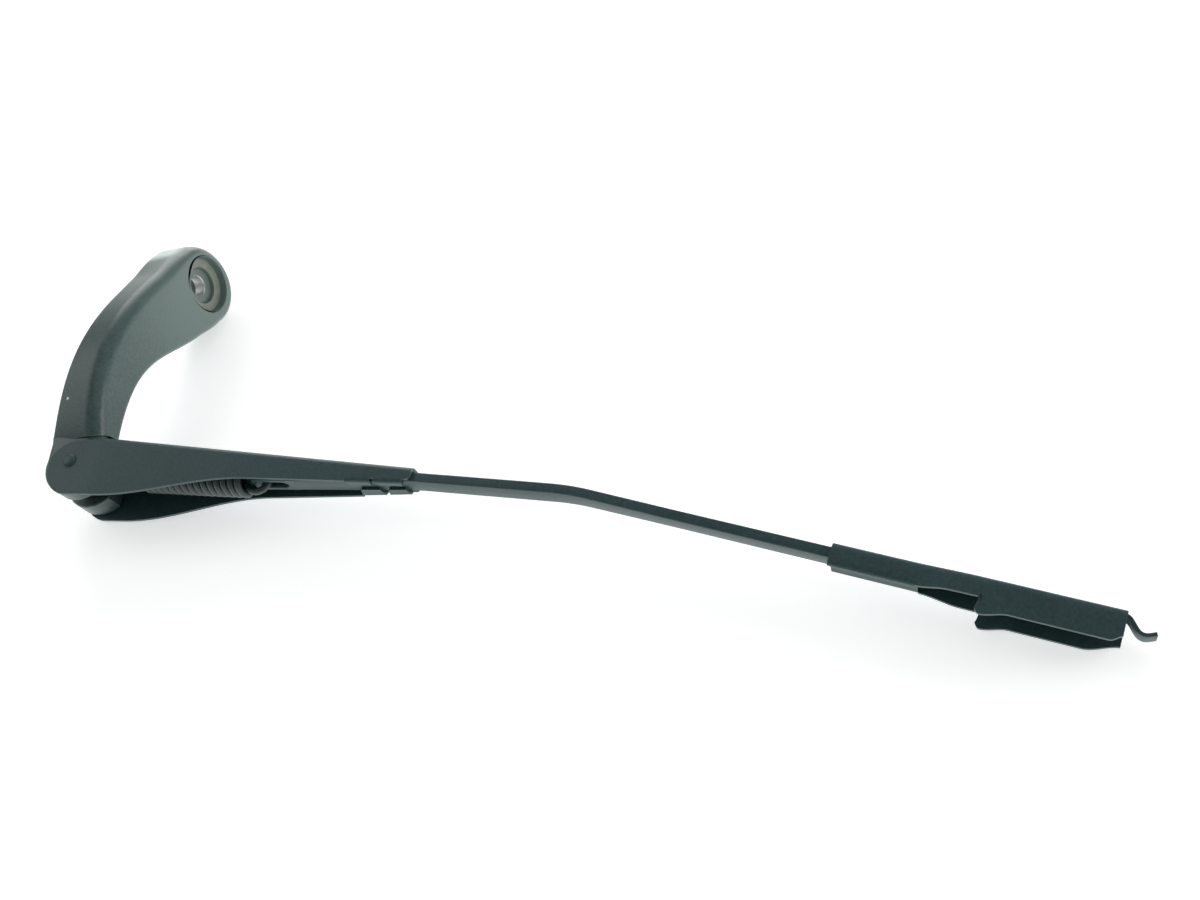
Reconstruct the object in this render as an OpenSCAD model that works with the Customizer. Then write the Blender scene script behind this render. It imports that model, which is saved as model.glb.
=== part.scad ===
// Wiper arm in the lifted position: head, hinge, spring retainer, rod and blade connector.
// Millimetres. +Z runs up the spindle axis, the origin is the middle of the spindle bore.

/* [Head] */
// outer radius of the spindle boss at its top
boss_r = 17.4; // [17:0.1:20]
// height of the head's top face above the bore's middle
head_top = 9; // [8:0.5:12]
// underside of the head beside the hinge
neck_bottom = -15.8; // [-16:0.2:-12]
// underside of the head halfway to the boss
mid_bottom = -8.6; // [-11:0.2:-8]
// underside of the head at the boss
boss_bottom = -11.5; // [-12:0.5:-8]
// how far the boss widens from its top to its underside
boss_flare = 4; // [1:0.2:5]
// radius of the spindle bore
bore_r = 4.9; // [4:0.1:6]
// length of the spindle bore
bore_len = 6; // [4:0.5:7]
// radius of the nut well
well_r = 9; // [8:0.5:10]
// radius of the cap recess at its mouth
recess_r = 14.2; // [12:0.1:15]
// depth of the cap recess
recess_depth = 3.7; // [3:0.1:4.5]
// wall left around the hollow underside
shell_t = 3.4; // [2.5:0.1:5]
// thickness left above the hollow underside
roof_t = 5; // [3:0.5:8]

/* [Hinge] */
// distance from the spindle to the hinge along X
hinge_x = 116.6; // [112:0.2:122]
// sideways distance from the spindle to the hinge's middle
hinge_y = -25.8; // [-27:0.2:-25]
// height of the hinge pin
hinge_z = -1.9; // [-2.5:0.1:-1]
// lean of the hinge pin about X
pin_lean = -5.5; // [-8:0.5:0]
// lift of the arm in this pose
lift = 85.8; // [80:0.2:86]
// radius of the knuckle
knuckle_r = 13.6; // [11.5:0.1:14]
// radius of the hinge pin between the walls
pin_r = 3.5; // [3:0.1:4]
// radial clearance of the hinge pin in the knuckle
pin_gap = 0.05; // [0.02:0.01:0.1]
// radius of the staked pin ends
tenon_r = 2.2; // [1.8:0.1:2.6]
// side gap between the knuckle and each retainer wall
side_gap = 0.3; // [0.2:0.05:0.6]
// width of the slot for the hook link
slot_w = 6.8; // [6:0.1:8]

/* [Spring] */
// spring anchor in the head, along the head from the hinge pin
anchor_x = -1.8; // [-2.5:0.1:-1]
// spring anchor in the head, above the hinge pin
anchor_z = -8.4; // [-8.8:0.1:-8.2]
// radius of the anchor pin
anchor_r = 2.5; // [2:0.1:2.6]
// radial clearance of the hook link on the anchor pin
anchor_gap = 0.06; // [0.02:0.01:0.1]
// thickness of the hook link plate
link_t = 4; // [3:0.5:5]
// reach of the hook link from the anchor to the spring's eye
link_reach = 29; // [26:0.5:32]
// outer diameter of the coils
spring_od = 15; // [13:0.2:15.4]
// wire diameter
wire_d = 3; // [2:0.1:3.2]
// number of coils
coils = 15; // [10:1:15]
// centre distance of neighbouring coils
coil_pitch = 3.35; // [3.3:0.05:3.4]
// mean radius of the eye on the rod's side
eye_r = 5.2; // [4.8:0.1:5.6]

/* [Retainer] */
// sheet thickness
sheet_t = 1.3; // [1:0.1:1.6]
// outer half width at the hinge
wide_half = 14.15; // [13.8:0.1:16]
// outer half width at the crimp
narrow_half = 5.9; // [5.9:0.1:6.6]
// length from the hinge pin to the crimped end
ret_len = 157; // [150:0.5:170]
// length of the crimp at that end
crimp_len = 29.5; // [26:0.5:34]
// slit between the two crimped tabs
crimp_slit = 2; // [1:0.2:3]
// top of the channel at the hinge
ret_top = 11.6; // [11:0.1:13]
// top of the channel at the crimped end
ret_top_end = 1.1; // [1.1:0.1:2]
// deepest lower edge near the hinge
ret_low = -15.4; // [-17:0.2:-14]
// lower edge of the crimped end
ret_low_end = -5.6; // [-6:0.1:-5.6]
// radius of the rounded ear behind the hinge pin
ear_r = 10.3; // [9.5:0.1:10.8]
// start of the top plate ahead of the hinge pin
web_start = 12; // [12:0.2:16]
// outer bend radius of the sheet
bend_r = 2.6; // [2:0.1:3]

/* [Rod] */
// width of the flat bar
rod_w = 9; // [8:0.1:9]
// thickness of the flat bar
rod_t = 3.9; // [3:0.1:3.9]
// height of the bar inside the retainer
rod_z = -2.3; // [-2.4:0.1:-2.2]
// start of the bar inside the retainer
rod_start = 83.5; // [82.8:0.1:84]
// length of the slot for the spring's eye
slot_len = 11.6; // [9:0.1:14]
// width of the slot for the spring's eye
slot_wide = 4.6; // [4:0.1:5]
// downward slope of the bar beyond the retainer
rod_slope = 4.35; // [3:0.05:6]
// distance from the retainer's end to the bend
bend_at = 65.6; // [50:0.2:80]
// angle of the bend
bend_angle = 8.7; // [5:0.1:12]
// radius of the bend
rod_bend_r = 110; // [60:5:130]
// twist of the bar after the bend
rod_twist = 3.8; // [0:0.1:8]
// length of the bar from the bend to the connector
rod_reach = 100; // [80:1:140]

/* [Blade connector] */
// length of the channel
con_len = 92.8; // [88:0.2:100]
// length of the crimped sleeve
sleeve_len = 29.5; // [25:0.5:34]
// sheet thickness of the connector
con_t = 1.5; // [1.2:0.1:1.6]
// outer half width of the sleeve
sleeve_half = 6.1; // [6.1:0.1:6.6]
// outer half width of the open channel
con_half = 7.4; // [7:0.1:8]
// lower edge of the open channel
con_low = -8.1; // [-9:0.1:-7.6]
// bottom of the near rolled flange
near_roll = -4.9; // [-5.4:0.1:-4.5]
// bottom of the far rolled flange
far_roll = -3.9; // [-4.4:0.1:-3.8]
// width of the end tongue
tongue_w = 6.5; // [5:0.1:8]
// reach of the end tongue
tongue_len = 9.8; // [9:0.2:12]

/* [Hidden] */
hinge = [hinge_x, hinge_y, hinge_z];
knuckle_half = wide_half - sheet_t - side_gap;
coil_r = (spring_od - wire_d) / 2;
wire_r = wire_d / 2;
rise = head_top - hinge_z;
eye_x = rod_start + 1.6;
tug_x = eye_x + eye_r;
slot_x = eye_x + sqrt(pow(eye_r - wire_r, 2) - pow(rod_t / 2, 2)) - 0.06;
anchor_arm = [
    anchor_x * cos(lift) + anchor_z * sin(lift),
    anchor_z * cos(lift) - anchor_x * sin(lift)
];
line_angle = atan2(rod_z - anchor_arm[1], tug_x - anchor_arm[0]);
coil_start = link_reach + 9.6;
far_eye = norm([eye_x, rod_z] - anchor_arm);
near_curve = [[104.8, -38.8], [69.3, -55.5], [38.4, -44.6], [-7.8, -16.3]];
far_curve = [[101, -25], [49.8, -30], [50.8, -4.3], [11, 14.2]];

function bez(p, t) = pow(1 - t, 3) * p[0] + 3 * t * pow(1 - t, 2) * p[1]
    + 3 * t * t * (1 - t) * p[2] + pow(t, 3) * p[3];
function arc(c, r, a0, a1, n) = [
    for (i = [0:n])
        let (a = a0 + (a1 - a0) * i / n)
        [c[0] + r * cos(a), c[1] + r * sin(a)]
];

// half width of the retainer's walls along its length
function wall_half(x) = wide_half + (narrow_half - wide_half) * (x - 14) / (ret_len - 14);

// one cross section of the head: distance across and height, rounded along the top
function section(w, zb, zt, inset, out, rn, rf) = concat(
    [[inset + 1 - out, zb], [inset - out, zb + 1]],
    arc([inset + rn, zt - rn], rn, 180, 90, 5),
    arc([w - inset - rf, zt - rf], rf, 90, 0, 5),
    [[w - inset + out, zb + 1], [w - inset - 1 + out, zb]]
);

// solid between the near and the far plan curve from t0 to t1
module sweep_head(t0, t1, n, inset, flare, drop, roof, rn, rf) {
    rows = [
        for (i = [0:n])
            let (t = t0 + (t1 - t0) * i / n)
            let (a = bez(near_curve, t), b = bez(far_curve, t), w = norm(b - a))
            let (u = (b - a) / w, zb = mid_bottom + (neck_bottom - mid_bottom) * pow(1 - t, 5) - drop)
            let (ring = section(w, zb, head_top - roof, inset, flare * pow(t, 4), rn, rf))
            [for (q = ring) concat(a + u * q[0], q[1])]
    ];
    m = len(rows[0]);
    pts = [for (r = rows) each r];
    sides = [
        for (i = [0:n - 1], j = [0:m - 1])
            let (k = (j + 1) % m)
            each [
                [i * m + j, (i + 1) * m + k, i * m + k],
                [i * m + j, (i + 1) * m + j, (i + 1) * m + k]
            ]
    ];
    caps = [
        for (j = [1:m - 2])
            each [[0, j, j + 1], [n * m, n * m + j + 1, n * m + j]]
    ];
    polyhedron(pts, concat(sides, caps), convexity = 6);
}

// the hinge pin's frame on the head
module at_hinge() {
    translate(hinge)
        rotate([pin_lean, 0, 0])
            children();
}

// the lifted arm's frame: X along the retainer, Z out of its back
module at_arm() {
    at_hinge()
        rotate([0, -lift, 0])
            children();
}

// the pull line's frame: origin on the anchor pin, X towards the rod's slot
module at_line() {
    at_arm()
        translate([anchor_arm[0], 0, anchor_arm[1]])
            rotate([0, -line_angle, 0])
                children();
}

// a rod or pin along Y
module along_y(r, len) {
    rotate([90, 0, 0])
        cylinder(r = r, h = len, center = true, $fn = 64);
}

module boss_solid() {
    rotate_extrude($fn = 96)
        polygon(concat(
            [[0, boss_bottom]],
            [[boss_r + boss_flare - 1, boss_bottom], [boss_r + boss_flare, boss_bottom + 1]],
            [[boss_r + boss_flare * 0.65, head_top - 4], [boss_r + boss_flare * 0.5, head_top - 2.2]],
            [[boss_r + boss_flare * 0.25, head_top - 0.8], [boss_r - 0.3, head_top], [0, head_top]]
        ));
}

module knuckle_solid() {
    intersection() {
        at_hinge()
            union() {
                along_y(knuckle_r, knuckle_half * 2);
                translate([-knuckle_r - 0.2, -knuckle_half, -9])
                    cube([6, knuckle_half * 2, rise + 10]);
            }
        translate([hinge_x - 30, hinge_y - 30, neck_bottom - 6])
            cube([60, 60, head_top - neck_bottom + 6]);
    }
    translate([hinge_x, hinge_y, neck_bottom + 0.6])
        linear_extrude(12)
            polygon([[-17.6, -4.2], [-10.6, -4.2], [-10.6, 11.2], [-12, 11.2]]);
}

module head() {
    color([0.2, 0.25, 0.25])
        difference() {
            union() {
                sweep_head(0, 1, 16, 0, boss_flare * 0.6, 0, 0, 6.4, 3);
                boss_solid();
                knuckle_solid();
            }
            sweep_head(0.1, 0.8, 10, shell_t, 0, 3, roof_t, 2, 2);
            translate([0, 0, -bore_len])
                cylinder(r = bore_r, h = bore_len * 2, $fn = 96);
            translate([0, 0, boss_bottom - 1])
                cylinder(r = well_r, h = -bore_len / 2 - boss_bottom + 1, $fn = 96);
            translate([0, 0, bore_len / 2])
                cylinder(r = well_r, h = head_top, $fn = 96);
            translate([0, 0, head_top - recess_depth])
                cylinder(r1 = recess_r - 0.8, r2 = recess_r, h = recess_depth + 0.01, $fn = 96);
            at_hinge() {
                translate([-9, -slot_w / 2, -16])
                    cube([25, slot_w, 32]);
                along_y(pin_r + pin_gap, 60);
                translate([anchor_x, 0, anchor_z])
                    along_y(anchor_r, 60);
            }
        }
}

module anchor_pin() {
    color([0.45, 0.46, 0.47])
        at_hinge()
            translate([anchor_x, 0, anchor_z])
                along_y(anchor_r, knuckle_half * 2 - 1);
}

module hinge_pin() {
    shank = wide_half - sheet_t - 0.05;
    end = wide_half;
    color([0.2, 0.24, 0.24])
        at_hinge()
            rotate([90, 0, 0])
                rotate_extrude($fn = 64)
                    polygon(concat(
                        [[0, -end - 1.2]],
                        [for (q = arc([0.4, -end], 2.5, -80, 0, 6)) [q[0], -end + (q[1] + end) / 2]],
                        [[tenon_r, -end], [tenon_r, -shank], [pin_r, -shank]],
                        [[pin_r, shank], [tenon_r, shank], [tenon_r, end]],
                        [for (q = arc([0.4, end], 2.5, 0, 80, 6)) [q[0], end + (q[1] - end) / 2]],
                        [[0, end + 1.2]]
                    ));
}

module hook_link() {
    reach = link_reach;
    color([0.25, 0.28, 0.28])
        at_line()
            rotate([90, 0, 0])
                difference() {
                    linear_extrude(link_t, center = true)
                        polygon(concat(
                            arc([0, 0], 4.6, 30, 250, 16),
                            arc([8.4, -1.2], 9, 222, 300, 10),
                            [[16.2, -6.2], [19.5, -2.6]],
                            arc([reach, 0], 4.4, -60, 60, 10),
                            [[18.5, 2.4], [15.6, -1.6], [13.4, -3.6]],
                            arc([8.4, -0.8], 5, -45, -140, 10)
                        ));
                    cylinder(r = anchor_r + anchor_gap, h = 20, center = true, $fn = 64);
                    translate([reach + 0.35, 0, 0])
                        cylinder(r = wire_r + 0.5, h = 20, center = true, $fn = 48);
                }
}

// round wire along a helix about X
module helix(turns, steps, sides) {
    n = turns * steps;
    pts = [
        for (i = [0:n], j = [0:sides - 1])
            let (a = 360 * i / steps, b = 360 * j / sides)
            let (r = coil_r + wire_r * cos(b), x = coil_pitch * i / steps + wire_r * sin(b))
            [x, r * cos(a), r * sin(a)]
    ];
    faces = [
        for (i = [0:n - 1], j = [0:sides - 1])
            let (k = (j + 1) % sides)
            each [
                [i * sides + j, (i + 1) * sides + k, (i + 1) * sides + j],
                [i * sides + j, i * sides + k, (i + 1) * sides + k]
            ]
    ];
    caps = [
        for (j = [1:sides - 2])
            each [[0, j + 1, j], [n * sides, n * sides + j, n * sides + j + 1]]
    ];
    polyhedron(pts, concat(faces, caps), convexity = 20);
}

module wire_ring(r) {
    rotate_extrude($fn = 64)
        translate([r, 0])
            circle(r = wire_r, $fn = 24);
}

// straight wire between two points in a plane through X
module wire_bar(p, q) {
    d = q - p;
    translate(p)
        rotate([0, atan2(d[0], d[2]), 0])
            cylinder(r = wire_r, h = norm(d), $fn = 24);
}

module tension_spring() {
    last = coil_start + coils * coil_pitch;
    color([0.22, 0.25, 0.25]) {
        at_line() {
            translate([coil_start, 0, 0])
                rotate([90, 0, 0])
                    helix(coils, 18, 8);
            translate([link_reach + 4, 0, 0])
                wire_ring(4);
            wire_bar([link_reach + 7.6, 0, 0.4], [coil_start + 0.4, 0, coil_r]);
            wire_bar([last - 0.4, 0, coil_r], [far_eye - eye_r * cos(20), 0, eye_r * sin(20)]);
        }
        at_arm()
            translate([eye_x, 0, rod_z])
                rotate([90, 0, 0])
                    wire_ring(eye_r);
    }
}

// channel shape of the retainer before it is trimmed, grown inwards by t
module channel_solid(t) {
    r = bend_r - t;
    half_far = narrow_half - t;
    half_near = wide_half - t;
    hull() {
        for (s = [-1, 1], x = [-12, 14])
            translate([x, s * (half_near - r), ret_top - t - r])
                rotate([0, 90, 0])
                    cylinder(r = r, h = 0.02, $fn = 32);
        translate([-12, -half_near, -20])
            cube([26.02, half_near * 2, 1]);
    }
    hull() {
        for (s = [-1, 1]) {
            translate([14, s * (half_near - r), ret_top - t - r])
                rotate([0, 90, 0])
                    cylinder(r = r, h = 0.02, $fn = 32);
            translate([ret_len, s * (half_far - r), ret_top_end - t - r])
                rotate([0, 90, 0])
                    cylinder(r = r, h = 0.5, $fn = 32);
            translate([14, s * half_near - 0.1, -20])
                cube([0.1, 0.2, 1]);
            translate([ret_len, s * half_far - 0.1, -20])
                cube([0.5, 0.2, 1]);
        }
    }
}

// side view of the retainer
module side_view() {
    polygon(concat(
        [
            for (i = [0:12])
                let (k = (1 - cos(15 * i)) / 2)
                [15 + (0.55 * ret_len - 15) * i / 12, ret_low + (ret_low_end - ret_low) * k]
        ],
        [[ret_len - 4.4, ret_low_end], [ret_len, ret_low_end + 3], [ret_len, ret_top_end - 1.6]],
        [[ret_len - 2.6, ret_top_end + 4], [ret_len - 3, 30], [web_start, 30]],
        [[web_start, ret_top - 1.4], [1, ret_top - 1.4]],
        arc([0, 0], ear_r, 96, 205, 14),
        arc([1.5, ret_low + 9], 9, 205, 270, 8)
    ));
}

module retainer() {
    mid = ret_len - (crimp_len + 4.4) / 2;
    tabs = [[ret_len - crimp_len, mid - crimp_slit / 2], [mid + crimp_slit / 2, ret_len - 4.4]];
    color([0.2, 0.25, 0.25])
        at_arm() {
            difference() {
                intersection() {
                    channel_solid(0);
                    rotate([90, 0, 0])
                        linear_extrude(60, center = true)
                            side_view();
                }
                channel_solid(sheet_t);
                translate([-20, -wide_half + sheet_t, ret_top - bend_r - 2])
                    cube([20 + web_start, (wide_half - sheet_t) * 2, 12]);
                along_y(tenon_r, 60);
            }
            for (s = [-1, 1], t = tabs)
                translate([0, 0, ret_low_end])
                    linear_extrude(sheet_t)
                        polygon([
                            [t[0] + s, s * (wall_half(t[0]) - 0.6)],
                            [t[0] + s + 2.5, s * 0.35],
                            [t[1] + s - 1.5, s * 0.35],
                            [t[1] + s, s * (wall_half(t[1]) - 0.6)]
                        ]);
        }
}

// flat bar along X
module bar(len) {
    translate([0, -rod_w / 2, -rod_t / 2])
        cube([len, rod_w, rod_t]);
}

// frame at the crimped end of the retainer, X along the sloping bar
module at_slope() {
    at_arm()
        translate([ret_len + 0.3, 0, rod_z])
            rotate([0, rod_slope, 0])
                children();
}

// frame where the two straight parts of the bar meet, X along the second
module at_bend() {
    at_slope()
        translate([bend_at, 0, 0])
            rotate([0, bend_angle, 0])
                children();
}

// side view of the bar up to just past the bend, in the sloping part's frame
module rod_side() {
    tangent = rod_bend_r * tan(bend_angle / 2);
    h = rod_t / 2;
    back = ret_len + 0.3 - rod_start;
    a = bend_angle;
    pivot = [bend_at - tangent, -rod_bend_r];
    past = [bend_at + (tangent + 6) * cos(a), -(tangent + 6) * sin(a)];
    polygon(concat(
        [[-back * cos(rod_slope), -back * sin(rod_slope)] + h * [sin(rod_slope), -cos(rod_slope)]],
        [[-back * cos(rod_slope), -back * sin(rod_slope)] - h * [sin(rod_slope), -cos(rod_slope)]],
        [[h * tan(rod_slope / 2), h]],
        arc(pivot, rod_bend_r + h, 90, 90 - a, 10),
        [past + h * [sin(a), cos(a)], past - h * [sin(a), cos(a)]],
        arc(pivot, rod_bend_r - h, 90 - a, 90, 10),
        [[-h * tan(rod_slope / 2), -h]]
    ));
}

module rod() {
    tangent = rod_bend_r * tan(bend_angle / 2);
    hole = slot_wide / 2;
    color([0.2, 0.25, 0.25]) {
        difference() {
            at_slope()
                rotate([90, 0, 0])
                    linear_extrude(rod_w, center = true)
                        rod_side();
            at_arm()
                translate([slot_x, 0, rod_z])
                    linear_extrude(10, center = true)
                        polygon(concat(
                            arc([hole, 0], hole, 90, 270, 12),
                            arc([slot_len - hole, 0], hole, -90, 90, 12)
                        ));
        }
        at_bend()
            translate([tangent + 2, 0, 0])
                rotate([rod_twist, 0, 0])
                    bar(rod_reach + sleeve_len - 3 - tangent);
    }
}

// side view of the connector
module con_side() {
    top = rod_t / 2 + con_t;
    polygon([
        [0, top],
        [0, near_roll],
        [sleeve_len, near_roll],
        [sleeve_len + 0.4, near_roll - 0.5],
        [sleeve_len + 12, -3.7],
        [sleeve_len + 21, -3.6],
        [sleeve_len + 21.6, -4.4],
        [sleeve_len + 20.4, con_low - 0.6],
        [sleeve_len + 20.8, con_low - 1.5],
        [sleeve_len + 21.8, con_low - 1.8],
        [sleeve_len + 25.4, con_low - 1.4],
        [sleeve_len + 30, con_low],
        [con_len - 4.4, con_low],
        [con_len - 1.6, con_low + 0.9],
        [con_len, con_low + 2.9],
        [con_len, top]
    ]);
}

// plan view of the connector, half width less t
module con_plan(t) {
    a = sleeve_half - t;
    b = con_half - t;
    polygon([
        [-1, -a],
        [sleeve_len - 2, -a],
        [50, -b],
        [con_len + 1, -b],
        [con_len + 1, b],
        [50, b],
        [sleeve_len - 2, a],
        [-1, a]
    ]);
}

module rolled_flange(side, low) {
    r = con_t * 0.95;
    rotate([90, 0, 90])
        linear_extrude(sleeve_len)
            polygon(concat(
                [[side * (sleeve_half - 0.2), -rod_t / 2 + 0.3]],
                [for (q = arc([sleeve_half - r, low + r], r, 0, -110, 7)) [side * q[0], q[1]]],
                [[side * 0.35, -rod_t / 2 - con_t * 0.9], [side * 0.35, -rod_t / 2]],
                [[side * (sleeve_half - con_t), -rod_t / 2]]
            ));
}

// S-shaped strip: down, up over a hump and down at the tip
module tongue() {
    h = con_t * 0.4;
    top = rod_t / 2 + con_t;
    slope = 2.2;
    a = [con_len, top - h - 2.4];
    b = a + 2.4 * [cos(35), sin(35)] + slope * [sin(35), -cos(35)] + 2.6 * [cos(35), sin(35)];
    d = b + 2.6 * [cos(295), sin(295)] + (tongue_len - 8) * [cos(-65), sin(-65)];
    rotate([90, 0, 0])
        linear_extrude(tongue_w, center = true)
            polygon(concat(
                [[con_len - 2, top]],
                arc(a, 2.4 + h, 90, 35, 5),
                arc(b, 2.6 - h, 215, 295, 6),
                arc(d, tongue_len - 8 + h, 115, -20, 8),
                arc(d, tongue_len - 8 - h, -20, 115, 8),
                arc(b, 2.6 + h, 295, 215, 6),
                arc(a, 2.4 - h, 35, 90, 5),
                [[con_len - 2, top - 2 * h]]
            ));
}

module blade_connector() {
    color([0.18, 0.23, 0.23])
        at_bend()
            rotate([rod_twist, 0, 0])
                translate([rod_reach, 0, 0]) {
                    intersection() {
                        difference() {
                            translate([0, 0, -12])
                                linear_extrude(12 + rod_t / 2 + con_t)
                                    con_plan(0);
                            translate([0, 0, -13])
                                linear_extrude(13 + rod_t / 2)
                                    con_plan(con_t);
                        }
                        rotate([90, 0, 0])
                            linear_extrude(40, center = true)
                                con_side();
                    }
                    rolled_flange(-1, near_roll);
                    rolled_flange(1, far_roll);
                    tongue();
                }
}

head();
anchor_pin();
hinge_pin();
hook_link();
tension_spring();
retainer();
rod();
blade_connector();
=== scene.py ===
import bmesh
import bpy
import numpy as np
from mathutils import Matrix, Vector


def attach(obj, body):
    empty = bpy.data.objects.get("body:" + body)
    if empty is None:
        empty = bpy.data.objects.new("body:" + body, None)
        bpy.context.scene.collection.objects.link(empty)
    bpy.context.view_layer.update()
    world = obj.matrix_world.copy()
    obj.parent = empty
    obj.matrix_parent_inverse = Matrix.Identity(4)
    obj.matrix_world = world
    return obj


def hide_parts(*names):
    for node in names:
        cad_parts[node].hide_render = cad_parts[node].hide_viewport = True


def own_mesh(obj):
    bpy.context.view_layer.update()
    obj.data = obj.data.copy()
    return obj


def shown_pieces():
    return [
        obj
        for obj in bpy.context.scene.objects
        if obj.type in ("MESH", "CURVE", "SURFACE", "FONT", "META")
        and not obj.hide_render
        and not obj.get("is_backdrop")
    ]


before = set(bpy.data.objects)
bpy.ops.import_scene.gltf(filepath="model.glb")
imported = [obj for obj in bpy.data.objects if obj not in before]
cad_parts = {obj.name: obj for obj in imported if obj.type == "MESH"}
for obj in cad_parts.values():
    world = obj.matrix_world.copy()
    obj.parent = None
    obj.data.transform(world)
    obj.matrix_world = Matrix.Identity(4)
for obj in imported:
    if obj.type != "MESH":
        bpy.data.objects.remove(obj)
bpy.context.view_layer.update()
scene = bpy.context.scene
print("stage: frame loaded")


# places, in millimetres in the row frame
def shiftBy(x, y, z):
    m = np.eye(4)
    m[:3, 3] = (x, y, z)
    return m


def turnBy(axis, degrees):
    c, s = np.cos(np.radians(degrees)), np.sin(np.radians(degrees))
    i, j = {"x": (1, 2), "y": (2, 0), "z": (0, 1)}[axis]
    m = np.eye(4)
    m[i, i] = m[j, j] = c
    m[i, j], m[j, i] = -s, s
    return m


def put(m, points):
    return np.asarray(points, float) @ m[:3, :3].T + m[:3, 3]


def smoothStep(x, a, b):
    # 0 up to a and 1 from b on, with a smooth rise between them
    u = np.clip((np.asarray(x, float) - a) / (b - a), 0, 1)
    return u * u * (3 - 2 * u)


placeValues = {
    "hinge": (116.6, -25.8, -1.9), "lean": -5.5, "lift": 85.8, "rodZ": -2.3, "armEnd": 157.0,
    "slope": 4.35, "bendAt": 65.6, "bend": 8.7, "twist": 3.8, "reach": 100.0,
    "anchor": (-1.8, -8.4), "eyeX": 85.1, "eyeR": 5.2, "slopeGap": 0.3,
}
v = placeValues
hingeFrame = shiftBy(*v["hinge"]) @ turnBy("x", v["lean"])
armFrame = hingeFrame @ turnBy("y", -v["lift"])
slopeFrame = armFrame @ shiftBy(v["armEnd"] + v["slopeGap"], 0, v["rodZ"]) @ turnBy("y", v["slope"])
bendFrame = slopeFrame @ shiftBy(v["bendAt"], 0, 0) @ turnBy("y", v["bend"])
conFrame = bendFrame @ turnBy("x", v["twist"]) @ shiftBy(v["reach"], 0, 0)
liftC, liftS = np.cos(np.radians(v["lift"])), np.sin(np.radians(v["lift"]))
# the anchor pin seen from the arm, and the line from it to the far eye of the spring
anchorX, anchorZ = v["anchor"]
anchorArm = np.array([anchorX * liftC + anchorZ * liftS, anchorZ * liftC - anchorX * liftS])
tug = np.array([v["eyeX"] + v["eyeR"], v["rodZ"]])
lineAngle = np.degrees(np.arctan2(tug[1] - anchorArm[1], tug[0] - anchorArm[0]))
lineFrame = armFrame @ shiftBy(anchorArm[0], 0, anchorArm[1]) @ turnBy("y", -lineAngle)


# building pieces from grids of points
def gridQuads(rows, cols, start, closeRows, closeCols):
    # one quad between each point and its neighbours in the next row and column
    r = np.arange(rows if closeRows else rows - 1)
    c = np.arange(cols if closeCols else cols - 1)
    a, b = np.meshgrid(r, c, indexing="ij")
    a2, b2 = (a + 1) % rows, (b + 1) % cols
    return start + np.stack([a * cols + b, a2 * cols + b, a2 * cols + b2, a * cols + b2], -1).reshape(-1, 4)


def buildPiece(name, grids, place, material, body, nodes=(), sharp=38.0):
    points, quads, count = [], [], 0
    for grid, closeRows, closeCols in grids:
        grid = np.asarray(grid, float)
        quads.append(gridQuads(grid.shape[0], grid.shape[1], count, closeRows, closeCols))
        points.append(put(place, grid.reshape(-1, 3)))
        count += grid.shape[0] * grid.shape[1]
    mesh = bpy.data.meshes.new(name)
    mesh.from_pydata((np.concatenate(points) / 1000).tolist(), [], np.concatenate(quads).tolist())
    work = bmesh.new()
    work.from_mesh(mesh)
    bmesh.ops.remove_doubles(work, verts=work.verts, dist=3e-6)
    bmesh.ops.dissolve_degenerate(work, edges=work.edges, dist=1e-6)
    bmesh.ops.recalc_face_normals(work, faces=work.faces)
    work.to_mesh(mesh)
    work.free()
    mesh.shade_smooth()
    mesh.set_sharp_from_angle(angle=np.radians(sharp))
    mesh.materials.append(material)
    obj = bpy.data.objects.new(name, mesh)
    scene.collection.objects.link(obj)
    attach(obj, body)
    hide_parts(*nodes)
    return obj


def lathe(profile, steps=96):
    # each profile point (radius, height) is turned round the Z axis
    a = np.linspace(0, 2 * np.pi, steps, endpoint=False)[:, None]
    p = np.asarray(profile, float)
    return np.stack([p[:, 0] * np.cos(a), p[:, 0] * np.sin(a), p[:, 1] + 0 * a], -1)


def tube(path, radius, sides=14):
    # a circle carried along the path, its frame turned as little as possible
    path = np.asarray(path, float)
    tangent = np.gradient(path, axis=0)
    tangent /= np.linalg.norm(tangent, axis=1)[:, None]
    normal = np.cross(tangent[0], [0.3, 0.2, 0.93])
    normals = []
    for t in tangent:
        normal = normal - t * normal.dot(t)
        normal = normal / np.linalg.norm(normal)
        normals.append(normal)
    normals = np.array(normals)
    sideways = np.cross(tangent, normals)
    b = np.linspace(0, 2 * np.pi, sides, endpoint=False)
    ring = normals[:, None] * np.cos(b)[None, :, None] + sideways[:, None] * np.sin(b)[None, :, None]
    body = path[:, None] + radius * ring
    start = np.repeat(path[:1] - tangent[:1] * 0.1, sides, 0)[None]
    end = np.repeat(path[-1:] + tangent[-1:] * 0.1, sides, 0)[None]
    startRim = path[0] + radius * 0.8 * ring[:1] - tangent[0] * 0.1
    endRim = path[-1] + radius * 0.8 * ring[-1:] + tangent[-1] * 0.1
    return np.concatenate([start, startRim, body, endRim, end])


def bezier(points, t):
    # cubic curve from the first to the last of four points
    t = np.asarray(t, float)[:, None]
    p = [np.asarray(q, float) for q in points]
    return (1 - t) ** 3 * p[0] + 3 * t * (1 - t) ** 2 * p[1] + 3 * t * t * (1 - t) * p[2] + t ** 3 * p[3]


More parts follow.
